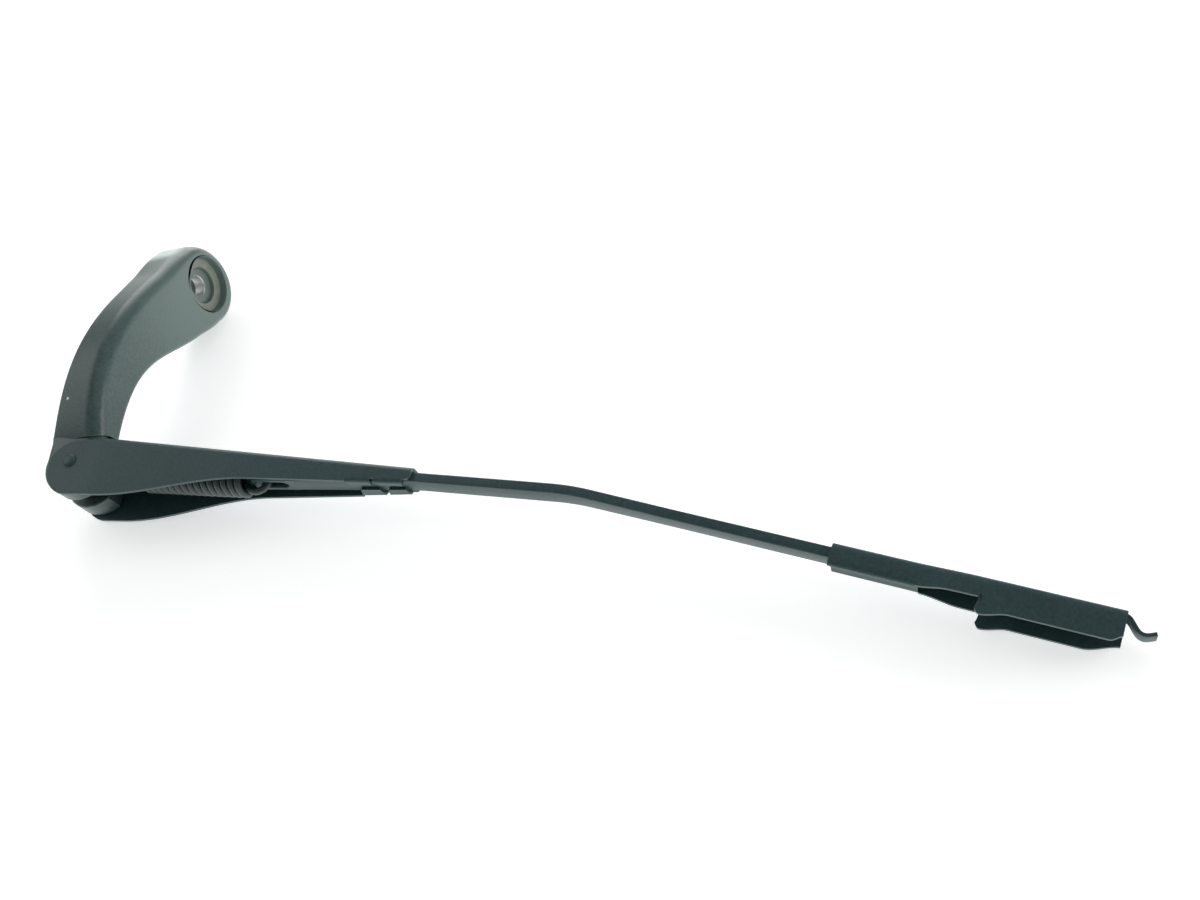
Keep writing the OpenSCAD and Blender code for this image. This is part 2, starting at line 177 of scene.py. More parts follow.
def sheetShell(points, thickness, fallback, flip=1.0):
    # the grid's own normals, turned inward, give the inner face; the edges are closed between the two
    p = np.asarray(points, float)
    n = np.cross(np.gradient(p, axis=0), np.gradient(p, axis=1)) * flip
    length = np.linalg.norm(n, axis=-1, keepdims=True)
    n = np.where(length > 1e-5, n / np.maximum(length, 1e-9), fallback)
    inner = p - n * thickness
    ring = np.concatenate([p, inner[:, ::-1]], 1)
    return [(ring, False, True)] + [(np.stack([p[i], inner[i]]), False, False) for i in (0, -1)]


# small helpers for node trees
def addNode(tree, kind, **values):
    node = tree.nodes.new(kind)
    for key, value in values.items():
        setattr(node, key, value)
    return node


def feed(tree, target, source):
    if isinstance(source, bpy.types.NodeSocket):
        tree.links.new(source, target)
    else:
        target.default_value = source


def calc(tree, operation, a, b=0.0, c=0.0):
    node = addNode(tree, "ShaderNodeMath", operation=operation)
    for socket, value in zip(node.inputs, (a, b, c)):
        feed(tree, socket, value)
    return node.outputs[0]


def times(tree, a, b):
    return calc(tree, "MULTIPLY", a, b)


def ramp(tree, value, a, b, low=0.0, high=1.0):
    node = addNode(tree, "ShaderNodeMapRange", interpolation_type="SMOOTHSTEP")
    for socket, source in zip(node.inputs, (value, a, b, low, high)):
        feed(tree, socket, source)
    return node.outputs[0]


def mixColour(tree, factor, a, b):
    node = addNode(tree, "ShaderNodeMix", data_type="RGBA")
    feed(tree, node.inputs[0], factor)
    feed(tree, node.inputs[6], a)
    feed(tree, node.inputs[7], b)
    return node.outputs[2]


def noise(tree, scale, detail, vector):
    node = addNode(tree, "ShaderNodeTexNoise")
    feed(tree, node.inputs["Scale"], scale)
    feed(tree, node.inputs["Detail"], detail)
    feed(tree, node.inputs["Vector"], vector)
    return node.outputs["Fac"]


def rgba(values):
    return (values[0], values[1], values[2], 1.0)


def newGroup(name, inputs, outputs):
    group = bpy.data.node_groups.new(name, "ShaderNodeTree")
    for label, kind, value in inputs:
        socket = group.interface.new_socket(label, in_out="INPUT", socket_type=kind)
        if value is not None:
            socket.default_value = value
    for label, kind in outputs:
        group.interface.new_socket(label, in_out="OUTPUT", socket_type=kind)
    return group, addNode(group, "NodeGroupInput"), addNode(group, "NodeGroupOutput")


# shared effects
effectValues = {
    "samples": 4, "turn": (0.005, 0.09), "patchScale": 420.0, "patch": (0.36, 0.66), "patchDetail": 4.0,
    "grainDetail": 3.0, "cloudDetail": 4.0, "speckScale": 900.0, "speckDetail": 1.0, "speck": (0.74, 0.82),
    "roughSpread": 0.2, "bumpDepth": 0.0002,
}


def makeEdgeWearAndGlint(values):
    # mask that is 1 where the surface turns sharply, broken up by noise; it marks worn edges and also paints the
    # highlight a rounded edge would catch
    group, source, sink = newGroup(
        "edgeWearAndGlint",
        [
            ("Vector", "NodeSocketVector", None),
            ("Radius", "NodeSocketFloat", 0.0006),
            ("Break up", "NodeSocketFloat", 0.5),
        ],
        [("Mask", "NodeSocketFloat")],
    )
    bevel = addNode(group, "ShaderNodeBevel", samples=values["samples"])
    feed(group, bevel.inputs["Radius"], source.outputs["Radius"])
    normal = addNode(group, "ShaderNodeNewGeometry").outputs["Normal"]
    dot = addNode(group, "ShaderNodeVectorMath", operation="DOT_PRODUCT")
    feed(group, dot.inputs[0], bevel.outputs[0])
    feed(group, dot.inputs[1], normal)
    bent = ramp(group, calc(group, "SUBTRACT", 1.0, dot.outputs["Value"]), *values["turn"])
    cloud = noise(group, values["patchScale"], values["patchDetail"], source.outputs["Vector"])
    rest = calc(group, "SUBTRACT", 1.0, ramp(group, cloud, *values["patch"]))
    share = times(group, source.outputs["Break up"], rest)
    feed(group, sink.inputs["Mask"], times(group, bent, calc(group, "SUBTRACT", 1.0, share)))
    return group


def makeGrain(values):
    # fine grain for roughness and bump, slow clouds for the tone, and a few specks
    group, source, sink = newGroup(
        "coatGrain",
        [
            ("Vector", "NodeSocketVector", None),
            ("Grain scale", "NodeSocketFloat", 1500.0),
            ("Cloud scale", "NodeSocketFloat", 50.0),
        ],
        [("Grain", "NodeSocketFloat"), ("Cloud", "NodeSocketFloat"), ("Speck", "NodeSocketFloat")],
    )
    vector = source.outputs["Vector"]
    grain = noise(group, source.outputs["Grain scale"], values["grainDetail"], vector)
    cloud = noise(group, source.outputs["Cloud scale"], values["cloudDetail"], vector)
    speck = noise(group, values["speckScale"], values["speckDetail"], vector)
    feed(group, sink.inputs["Grain"], grain)
    feed(group, sink.inputs["Cloud"], cloud)
    feed(group, sink.inputs["Speck"], ramp(group, speck, *values["speck"]))
    return group


edgeWearAndGlint, coatGrain = makeEdgeWearAndGlint(effectValues), makeGrain(effectValues)


# coats
def makeCoat(name, values):
    mat = bpy.data.materials.new(name)
    mat.use_nodes = True
    tree = mat.node_tree
    shader = tree.nodes["Principled BSDF"]
    coords = addNode(tree, "ShaderNodeTexCoord").outputs["Object"]
    grain = addNode(tree, "ShaderNodeGroup", node_tree=coatGrain)
    feed(tree, grain.inputs["Vector"], coords)
    feed(tree, grain.inputs["Grain scale"], values["grainScale"])
    feed(tree, grain.inputs["Cloud scale"], values["cloudScale"])
    wearAndGlint = addNode(tree, "ShaderNodeGroup", node_tree=edgeWearAndGlint)
    feed(tree, wearAndGlint.inputs["Vector"], coords)
    feed(tree, wearAndGlint.inputs["Radius"], values["wearAndGlintRadius"])
    # the tone runs from dark to light with the clouds, and the grain mottles it
    tone = calc(tree, "MULTIPLY_ADD", grain.outputs["Grain"], values["mottle"], grain.outputs["Cloud"])
    tone = calc(tree, "SUBTRACT", tone, values["mottle"] / 2)
    colour = mixColour(tree, tone, rgba(values["dark"]), rgba(values["light"]))
    # specks and sharp edges take a paler colour: real wear, and on the edges also a painted highlight
    for mask, share in ((grain.outputs["Speck"], values["speck"]), (wearAndGlint.outputs["Mask"], values["wearAndGlint"])):
        colour = mixColour(tree, times(tree, mask, share), colour, rgba(values["wornAndGlint"]))
    spread = effectValues["roughSpread"]
    rough = calc(tree, "MULTIPLY_ADD", grain.outputs["Grain"], spread, values["roughness"] - spread / 2)
    bump = addNode(tree, "ShaderNodeBump")
    feed(tree, bump.inputs["Strength"], values["bump"])
    feed(tree, bump.inputs["Distance"], effectValues["bumpDepth"])
    feed(tree, bump.inputs["Height"], grain.outputs["Grain"])
    if "boss" in values:
        colour, rough, shine = addBossFinishAndSheen(tree, coords, colour, rough, values["boss"])
        feed(tree, shader.inputs["Metallic"], shine)
    feed(tree, shader.inputs["Base Color"], colour)
    feed(tree, shader.inputs["Roughness"], rough)
    feed(tree, shader.inputs["Normal"], bump.outputs[0])
    feed(tree, shader.inputs["Specular IOR Level"], values["specular"])
    return mat


def addBossFinishAndSheen(tree, coords, colour, rough, values):
    split = addNode(tree, "ShaderNodeSeparateXYZ")
    feed(tree, split.inputs[0], coords)
    x, y, z = split.outputs
    radius = calc(tree, "SQRT", calc(tree, "ADD", times(tree, x, x), times(tree, y, y)))
    # painted sheen: the coat is painted lighter towards the boss, standing in for the glare that lights that end
    paintedSheen = times(tree, ramp(tree, radius, *values["paintedSheenReach"]), values["paintedSheenShare"])
    colour = mixColour(tree, paintedSheen, colour, rgba(values["paintedSheen"]))
    # a painted highlight: a bright strip low on the boss's near flank, standing in for glare
    towardsX, towardsY = values["stripSide"]
    flank = calc(tree, "ADD", times(tree, x, towardsX), times(tree, y, towardsY))
    strip = times(tree, ramp(tree, flank, *values["stripReach"]), ramp(tree, z, *values["stripHeight"]))
    colour = mixColour(tree, times(tree, strip, values["stripShare"]), colour, rgba(values["strip"]))
    # brown dirt on the ledge of the recess, thinner in the well below it
    ledge = times(tree, ramp(tree, radius, *values["ledgeReach"]), ramp(tree, z, *values["ledgeTop"]))
    ledge = times(tree, ledge, ramp(tree, z, *values["ledgeLow"]))
    cloud = noise(tree, values["dirtScale"], values["dirtDetail"], coords)
    dirt = times(tree, ledge, ramp(tree, cloud, *values["dirtSpread"]))
    colour = mixColour(tree, times(tree, dirt, values["dirtShare"]), colour, rgba(values["dirt"]))
    # one chip on the near side of the neck, its rim made uneven by noise
    away = addNode(tree, "ShaderNodeVectorMath", operation="DISTANCE")
    feed(tree, away.inputs[0], coords)
    away.inputs[1].default_value = values["chip"]
    uneven = times(tree, noise(tree, values["chipScale"], values["chipDetail"], coords), values["chipUneven"])
    chip = ramp(tree, calc(tree, "ADD", away.outputs["Value"], uneven), *values["chipRim"])
    colour = mixColour(tree, chip, colour, rgba(values["chipColour"]))
    # bare metal inside the bore
    inBore = times(tree, ramp(tree, radius, *values["boreReach"]), ramp(tree, z, *values["boreTop"]))
    colour = mixColour(tree, inBore, colour, rgba(values["metal"]))
    rough = calc(tree, "MULTIPLY_ADD", inBore, values["boreRough"], rough)
    return colour, rough, inBore


# a reach, top, low, height, rim or spread is a ramp: from, to, and where it isn't 0 to 1 its two ends
coatValues = {
    "sheet": {
        "dark": (0.020, 0.048, 0.051), "light": (0.037, 0.074, 0.077), "wornAndGlint": (0.2, 0.25, 0.24),
        "cloudScale": 45.0, "grainScale": 900.0, "roughness": 0.46, "bump": 0.3, "mottle": 2.0,
        "specular": 0.32, "wearAndGlint": 0.28, "wearAndGlintRadius": 0.0005, "speck": 0.10,
    },
    "casting": {
        "dark": (0.030, 0.058, 0.055), "light": (0.057, 0.095, 0.089), "wornAndGlint": (0.34, 0.42, 0.38),
        "cloudScale": 38.0, "grainScale": 800.0, "roughness": 0.37, "bump": 0.34, "mottle": 2.2,
        "specular": 0.4, "wearAndGlint": 0.45, "wearAndGlintRadius": 0.0007, "speck": 0.12,
        "boss": {
            # painted sheen, lighter towards the boss
            "paintedSheen": (0.135, 0.185, 0.168), "paintedSheenShare": 0.62, "paintedSheenReach": (0.085, 0.012),
            # painted highlight, a bright strip on the boss's near flank
            "strip": (0.62, 0.72, 0.68), "stripShare": 0.85, "stripSide": (-0.77, -0.64),
            "stripReach": (0.0145, 0.0180), "stripHeight": (0.0055, -0.001),
            "dirt": (0.20, 0.195, 0.15), "dirtShare": 0.75, "dirtScale": 330.0, "dirtDetail": 3.0,
            "dirtSpread": (0.25, 0.7, 0.35, 1.0), "ledgeReach": (0.0138, 0.0128),
            "ledgeTop": (0.0072, 0.0058), "ledgeLow": (0.0040, 0.0050, 0.15, 1.0),
            "chip": (0.0880, -0.0455, -0.0072), "chipColour": (0.75, 0.78, 0.76),
            "chipScale": 1200.0, "chipDetail": 2.0, "chipUneven": 0.001, "chipRim": (0.0016, 0.0013),
            "metal": (0.62, 0.64, 0.62), "boreReach": (0.0052, 0.0056, 1.0, 0.0),
            "boreTop": (0.0032, 0.0024), "boreRough": 0.1,
        },
    },
    "spring": {
        "dark": (0.016, 0.030, 0.030), "light": (0.034, 0.054, 0.052), "wornAndGlint": (0.2, 0.22, 0.21),
        "cloudScale": 90.0, "grainScale": 1600.0, "roughness": 0.4, "bump": 0.2, "mottle": 0.6,
        "specular": 0.5, "wearAndGlint": 0.0, "wearAndGlintRadius": 0.0004, "speck": 0.15,
    },
}
sheetCoat = makeCoat("sheetCoat", coatValues["sheet"])
castCoat = makeCoat("castCoat", coatValues["casting"])
springCoat = makeCoat("springCoat", coatValues["spring"])
coatOf = {"hook_link": springCoat, "anchor_pin": springCoat}
for nodeName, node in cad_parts.items():
    node.data.materials.clear()
    node.data.materials.append(coatOf.get(nodeName, sheetCoat))
print("stage: materials set")


# head casting
headValues = {
    "near": ((104.8, -38.8), (69.3, -55.5), (38.4, -44.6), (-7.8, -16.3)),
    "far": ((101, -25), (49.8, -30), (50.8, -4.3), (11, 14.2)),
    "bossRadius": 18.0, "top": 9.0, "neckLow": -15.8, "midLow": -9.3, "bossLow": -11.5, "roof": 4.0,
    "nearEdge": 6.4, "farEdge": 2.6, "edgeIn": 1.5, "softIn": 1.9, "edgeDown": 4.0, "softDown": 5.0,
    "outTop": 1.8, "outLow": 2.1, "footRound": 1.2, "shell": 3.4, "lip": 0.8, "draft": 0.4, "corner": 1.0,
    "bossBlend": (0.84, 0.99), "softBlend": (0.3, 0.75), "lowBlend": (0.74, 0.93), "lowPower": 5,
    "pocketStart": (0.07, 0.1), "pocketEnd": (0.76, 0.8), "wallFill": 0.8, "wallStart": 0.05,
    "recess": 14.2, "ledge": 5.3, "well": 9.0, "wellFloor": 3.0, "bore": 4.9,
    "boreLow": -2.6, "reliefTop": -3.0,
}


def headOutline(values):
    # the neck's two edges are cubic curves and the boss is an arc that joins them
    t = np.linspace(0, 1, 90)
    near, far = bezier(values["near"], t), bezier(values["far"], t)
    a0 = np.degrees(np.arctan2(near[-1, 1], near[-1, 0])) % 360
    a1 = np.degrees(np.arctan2(far[-1, 1], far[-1, 0])) % 360
    angles = np.radians(np.linspace(a0, a1, 74)[1:-1])
    boss = values["bossRadius"] * np.stack([np.cos(angles), np.sin(angles)], 1)
    # near side from the hinge, round the boss, far side back to the hinge
    outline = np.concatenate([near, boss, far[::-1]])
    along = np.concatenate([t, np.ones(len(boss)), t[::-1]])
    side = np.concatenate([0 * t, np.linspace(0, 1, len(boss)), 1 + 0 * t])
    return outline, along, side, (near + far) / 2


def headSection(along, side, values):
    # columns of offset and height: rounded top edge, side wall, foot, lip, hollow and its roof
    boss = smoothStep(along, *values["bossBlend"])
    edge = values["nearEdge"] + (values["farEdge"] - values["nearEdge"]) * side
    # the near side of the boss keeps a wide soft edge, the far side a narrow one
    soft = 1 - smoothStep(side, *values["softBlend"])
    inner = edge * (1 - boss) + (values["edgeIn"] + values["softIn"] * soft) * boss
    drop = edge * (1 - boss) + (values["edgeDown"] + values["softDown"] * soft) * boss
    outTop, outLow = values["outTop"] * boss, values["outLow"] * boss
    # the underside rises fast behind the hinge and sinks a little again to the boss
    low = values["midLow"] + (values["neckLow"] - values["midLow"]) * (1 - along) ** values["lowPower"]
    low = low + (values["bossLow"] - values["midLow"]) * smoothStep(along, *values["lowBlend"])
    pocket = smoothStep(along, *values["pocketStart"]) * (1 - smoothStep(along, *values["pocketEnd"]))
    roof = low + (values["roof"] - low) * pocket
    shoulder = values["top"] - drop
    columns = []
    # rounded top edge: a quarter ellipse from the flat top to the side wall
    for a in np.radians(np.linspace(90, 0, 13)):
        columns.append((-inner + (inner + outTop) * np.cos(a), values["top"] - drop * (1 - np.sin(a))))
    e = values["footRound"]
    for u in (0.25, 0.5, 0.75, 1.0):
        columns.append((outTop + (outLow - outTop) * u, shoulder + (low + e - shoulder) * u))
    for a in np.radians((-25, -50, -90)):
        columns.append((outLow - e + e * np.cos(a), low + e + e * np.sin(a)))
    lip, draft, shell = values["lip"], values["draft"], values["shell"]
    columns.append((lip - shell - draft * boss, low))
    columns.append((-shell - draft * boss, low + lip * pocket))
    for u in (0.5, 1.0):
        height = values["wallFill"] * u + values["wallStart"]
        columns.append((-shell - draft * u + 0 * along, low + (roof - low) * height))
    columns.append((-shell - draft - values["corner"] + 0 * along, roof))
    return columns, roof


def recessProfile(values):
    # radius and height from the top down; the steps of 0.1 to 0.6 mm are its edge rounds
    r, top, ledge = values["recess"], values["top"], values["ledge"]
    well, floor, bore = values["well"], values["wellFloor"], values["bore"]
    boreLow, relief, low = values["boreLow"], values["reliefTop"], values["bossLow"]
    return np.array([
        (r, top), (r - 0.25, top - 0.12), (r - 0.45, top - 0.5), (r - 0.9, ledge + 0.7), (r - 1.1, ledge + 0.2),
        (r - 1.6, ledge), (well + 0.5, ledge), (well + 0.1, ledge - 0.15), (well - 0.1, ledge - 0.6),
        (well - 0.4, floor + 0.4), (well - 0.9, floor), (bore + 0.6, floor), (bore, floor - 0.6),
        (bore, boreLow), (bore + 0.4, relief), (well - 0.4, relief), (well, relief - 0.4),
        (well, low + 0.6), (well + 0.6, low), (r, low),
    ])


def headGrids(values):
    # the section is carried round the outline, each offset taken along the outline's normal
    outline, along, side, middle = headOutline(values)
    columns, roof = headSection(along, side, values)
    step = np.gradient(outline, axis=0)
    step /= np.linalg.norm(step, axis=1)[:, None]
    normal = np.stack([-step[:, 1], step[:, 0]], 1)
    ring = [np.concatenate([outline + normal * out[:, None], z[:, None]], 1) for out, z in columns]
    # the flat top and the roof run to a core: the middle line of the neck, then the recess circle
    k = int(np.argmax(np.hypot(middle[:, 0], middle[:, 1]) < values["recess"]))
    first = np.degrees(np.arctan2(middle[k, 1], middle[k, 0]))
    circle = np.radians(first - np.linspace(0, 360, len(outline) - 2 * k))
    recess = values["recess"] * np.stack([np.cos(circle), np.sin(circle)], 1)
    core = np.concatenate([middle[:k], recess, middle[:k][::-1]])
    coreTop = np.concatenate([core, np.full((len(core), 1), values["top"])], 1)
    onCircle = np.zeros(len(core), bool)
    onCircle[k:len(core) - k] = True
    coreLow = np.concatenate([core, np.where(onCircle, values["bossLow"], roof)[:, None]], 1)
    topRows = [coreTop + (ring[0] - coreTop) * u for u in (0, 0.25, 0.5, 0.75, 0.92)]
    lowRows = [ring[-1] + (coreLow - ring[-1]) * u for u in (0.5, 1.0)]
    surface = np.stack(topRows + ring + lowRows, 1)
    end = np.stack([surface[0], surface[-1]], 0)
    # the recess profile turned round the spindle axis, in step with the core
    r, z = recessProfile(values).T
    turned = [r * np.cos(circle)[:, None], r * np.sin(circle)[:, None], z + 0 * circle[:, None]]
    return [(surface, False, False), (end, False, False), (np.stack(turned, -1), False, False)]


knuckleValues = {
    "radius": 13.6, "half": 12.55, "slot": 3.4, "rise": 9.4, "back": -13.8, "round": 1.2, "soft": 6.4,
    "nearTurn": -97, "nearFoot": ((-6.0, -13.7), (-10.0, -13.9), (-13.8, -14.1)),
    "farTurn": -158, "farFoot": ((-13.8, -5.1),), "slotEdge": 0.4,
    "barFront": -9.0, "barLow": -10.4, "barSink": 0.5,
}


def extrude(outline, heights, insets):
    # a closed outline carried along Y with an inset at each height, its ends closed to the middle
    outline = np.asarray(outline, float)
    step = np.roll(outline, -1, 0) - np.roll(outline, 1, 0)
    step /= np.linalg.norm(step, axis=1)[:, None]
    normal = np.stack([step[:, 1], -step[:, 0]], 1)
    middle = np.repeat(outline.mean(0)[None], len(outline), 0)
    rows = [np.insert(middle, 1, heights[0], axis=1)]
    for y, inset in zip(heights, insets):
        rows.append(np.insert(outline - normal * inset, 1, y, axis=1))
    rows.append(np.insert(middle, 1, heights[-1], axis=1))
    return (np.stack(rows), False, True)


def cheekGrid(sign, values):
    # side view: flat top level with the head, then a round nose; the near foot runs on to the neck
    r, rise, back = values["radius"], values["rise"], values["back"]
    half, e, soft = values["half"], values["round"], values["soft"]
    turn, foot = ("nearTurn", "nearFoot") if sign < 0 else ("farTurn", "farFoot")
    arc = np.radians(np.linspace(np.degrees(np.arcsin(rise / r)), values[turn], 60))
    outline = [(back, rise)] + [(x, rise) for x in np.linspace(back + 2, r * np.cos(arc[0]) - 1, 6)]
    outline += [(r * np.cos(a), r * np.sin(a)) for a in arc] + list(values[foot])
    # the outer edge is a quarter round, the edge of the slot a small bevel
    a = np.radians(np.linspace(90, 0, 7))
    y = list(half - e + e * np.sin(a)) + list(half - np.linspace(2, soft, 7))
    y += [values["slot"] + values["slotEdge"], values["slot"]]
    insets = list(e - e * np.cos(a)) + [0] * 8 + [values["slotEdge"]]
    rows, *closed = extrude(np.array(outline)[::-1], [sign * q for q in y], insets)
    if sign < 0:
        # the neck's wide near edge runs on over the near cheek: a quarter circle along its top
        depth = np.clip(half - np.abs(rows[..., 1]), 0, soft)
        rows[..., 2] = np.minimum(rows[..., 2], rise - soft + np.sqrt(soft ** 2 - (soft - depth) ** 2))
    return (rows, *closed)


def knuckleGrids(values):
    # two cheeks and the bar that joins them behind the slot
    rise, back, front, low = (values[key] for key in ("rise", "back", "barFront", "barLow"))
    bar = np.array([(back, rise), (front, rise), (front, low), (back, low)])[::-1]
    reach = values["slot"] + values["barSink"]
    return [cheekGrid(-1, values), cheekGrid(1, values), extrude(bar, [-reach, reach], [0, 0])]


buildPiece("headCasting", headGrids(headValues), np.eye(4), castCoat, "head_body", ("head",))
buildPiece("headKnuckle", knuckleGrids(knuckleValues), hingeFrame, castCoat, "head_body", ("head",))
print("stage: head built")


# hinge pin with staked ends
pinValues = {"shank": 12.8, "end": 14.15, "r": 3.5, "tenon": 2.2, "dome": 3.0, "rim": 0.15, "crown": 1.1}


def pinProfile(values):
    # radius and height: a shallow dome, the tenon it closes and the shank, then the mirror of these
    end, dome, tenon, shank = (values[key] for key in ("end", "dome", "tenon", "shank"))
    angles = np.radians((0, 20, 40, 60, 75, 88))
    p = [(dome * np.sin(a), end + values["rim"] + values["crown"] * np.cos(a)) for a in angles]
    p += [(dome - 0.2, end), (tenon, end - 0.02), (tenon, shank), (values["r"], shank)]
    return p + [(r, -z) for r, z in p[::-1]]


pinGrid = (lathe(pinProfile(pinValues), 64), True, False)
buildPiece("hingePin", [pinGrid], hingeFrame @ turnBy("x", 90), sheetCoat, "arm_body", ("hinge_pin",))


# retainer: a folded sheet
retainerValues = {
    "end": 157.0, "thick": 1.3, "wide": 14.15, "narrow": 5.9, "taper": 14.0, "web": 12.0, "bend": 2.6,
    "top": 11.6, "topEnd": 1.6, "low": -15.4, "lowEnd": -5.6, "riseStart": 15.0, "riseEnd": 0.55,
    "ear": 10.3, "earLowX": 3.0, "earTopX": 3.5, "earPower": 2.05, "earGap": 0.35,
    "crimp": 26.5, "crimpShare": 0.8, "slit": 2.0, "corner": 3.6, "cornerRise": 3.0, "cornerPower": 1.5,
    "fold": 1.5, "reach": (0.5, 0.85), "slant": 1.6, "tabGap": 0.35, "tabSag": 0.12, "seam": 0.01, "step": 0.3,
}


def wallLow(x, values):
    # lower edge: a rounded ear behind the pin, a cosine rise to the crimp, a rounded last corner
    x = np.asarray(x, float)
    power, low, lowEnd = values["earPower"], values["low"], values["lowEnd"]
    across = np.abs((x - values["earLowX"]) / (values["ear"] + values["earLowX"]))
    ear = low * np.clip(1 - across ** power, 0, 1) ** (1 / power)
    span = values["riseEnd"] * values["end"] - values["riseStart"]
    turn = np.pi * np.clip((x - values["riseStart"]) / span, 0, 1)
    rise = low + (lowEnd - low) * (1 - np.cos(turn)) / 2
    past = np.clip((x - values["end"] + values["corner"]) / values["corner"], 0, 1)
    corner = lowEnd + values["cornerRise"] * past ** values["cornerPower"]
    rest = np.where(x < values["crimpShare"] * values["end"], rise, corner)
    return np.where(x < values["earLowX"], ear, rest)


def wallTop(x, values):
    # upper edge of the flat wall: round over the pin, then just under the bend
    x = np.asarray(x, float)
    high, middle = values["ear"] - values["earGap"], values["earTopX"]
    ear = high * np.clip(1 - np.abs((x - middle) / (values["ear"] + middle)) ** 2, 0, 1) ** 0.5
    u = np.clip((x - values["taper"]) / (values["end"] - values["taper"]), 0, 1)
    line = values["top"] + (values["topEnd"] - values["top"]) * u
    rest = np.where(x < values["web"] - values["seam"], high, line - values["bend"])
    return np.where(x < middle, ear, rest)


def wallHalf(x, values):
    # half width: straight round the hinge, then an even taper
    u = np.clip((np.asarray(x, float) - values["taper"]) / (values["end"] - values["taper"]), 0, 1)
    return values["wide"] + (values["narrow"] - values["wide"]) * u


def backColumns(half, top, r, count, shares):
    # a quarter-round bend, the flat back and the other bend, as columns of offset and height
    angles = np.radians(np.linspace(0, 90, count))
    cols = [(-half + r - r * np.cos(q), top - r + r * np.sin(q)) for q in angles]
    cols += [(-half + r + (2 * half - 2 * r) * u, top) for u in shares]
    return cols + [(half - r + r * np.cos(q), top - r + r * np.sin(q)) for q in angles[::-1]]


def tabPlaces(sign, values):
    # the two tabs of one wall, with a slit between them
    start, stop = values["end"] - values["crimp"] + sign, values["end"] - values["corner"]
    middle = values["end"] - (values["crimp"] + values["corner"]) / 2 + sign
    return [(start, middle - values["slit"] / 2), (middle + values["slit"] / 2, stop)]


def channelGrid(values):
    # one section after another along X; rows a hair apart step the lower edge up where the tabs start
    end, corner, seam, step = values["end"], values["corner"], values["seam"], values["step"]
    first, second = sorted(tabPlaces(sign, values)[0][0] for sign in (-1, 1))
    x = np.concatenate([
        np.linspace(values["web"], first - seam, 70), [first], np.linspace(first + step, second - seam, 4),
        np.linspace(second, end - corner, 24), np.linspace(end - corner + step, end, 8),
    ])
    top, half, r = wallTop(x, values) + values["bend"], wallHalf(x, values), values["bend"]
    lows = []
    for sign in (-1, 1):
        crimped = x >= tabPlaces(sign, values)[0][0] - seam / 10
        low = np.where(crimped, values["lowEnd"] + values["fold"], wallLow(x, values))
        lows.append(np.where(x > end - corner, np.maximum(low, wallLow(x, values)), low))
    shares = np.linspace(0, 1, 9)
    cols = [(-half, lows[0] + (top - r - lows[0]) * u) for u in shares[:-1]]
    cols += backColumns(half, top, r, 9, (0.2, 0.4, 0.6, 0.8))
    cols += [(half, top - r + (lows[1] - top + r) * u) for u in shares[1:]]
    return np.stack([np.stack([x, y, z], -1) for y, z in cols], 1)


def earGrid(sign, values):
    # flat wall round the hinge pin, from its lower to its upper edge
    turn = np.linspace(0, np.pi / 2, 30)
    reach = values["ear"] + values["earLowX"]
    x = np.concatenate([reach * (1 - np.cos(turn)) - values["ear"] + 0.001, np.linspace(3.4, values["web"], 8)])
    low, high = wallLow(x, values), wallTop(np.minimum(x, values["web"] - 0.02), values)
    u = np.linspace(0, 1, 9)[::-sign]
    y = np.full((len(x), len(u)), sign * values["wide"])
    return np.stack([x[:, None] + 0 * u, y, low[:, None] + (high - low)[:, None] * u], -1)


def tabGrid(sign, a, b, values):
    # the tab leaves the wall in a quarter round and runs on towards the middle, its ends slanted
    f, x = values["fold"], np.linspace(a, b, 12)
    half = wallHalf(x, values)
    cols = []
    for q in np.radians(np.linspace(0, 90, 7)):
        cols.append((half - f + f * np.cos(q), values["lowEnd"] + f - f * np.sin(q) + 0 * half, x))
    reach = values["reach"][0 if sign < 0 else 1]
    for u in (0.33 * reach, 0.66 * reach, reach):
        cut = values["slant"] * u
        slanted = a + cut + (b - a - values["slant"] * cut) * (x - a) / (b - a)
        z = values["lowEnd"] + values["tabSag"] * np.sin(np.pi * u) + 0 * half
        cols.append(((half - f) * (1 - u) + values["tabGap"] * u, z, slanted))
    return np.stack([np.stack([along, sign * y, z], -1) for y, z, along in cols], 1)


def retainerGrids(values):
    thick = values["thick"]
    grids = sheetShell(channelGrid(values), thick, (0, 0, 1))
    for sign in (-1, 1):
        grids += sheetShell(earGrid(sign, values), thick, (0, sign, 0))
        for a, b in tabPlaces(sign, values):
            grids += sheetShell(tabGrid(sign, a, b, values), thick, (0, 0, -1), sign)
    return grids


buildPiece("retainerSheet", retainerGrids(retainerValues), armFrame, sheetCoat, "arm_body", ("retainer",))
print("stage: retainer built")


# rod: a flat bar bent, twisted and slotted
rodValues = {
    "wide": 9.0, "thick": 3.9, "round": 0.55, "start": 83.5, "blockEnd": 104.0, "bendR": 110.0, "tail": 28.5,
    "slotX": 88.18, "slotLen": 11.6, "slotWide": 4.6, "slotEdge": 0.4, "tipLen": 2.4, "tipNarrow": 0.3,
    "kink": 1.5, "twistStart": -10.0, "twistEnd": 60.0,
}


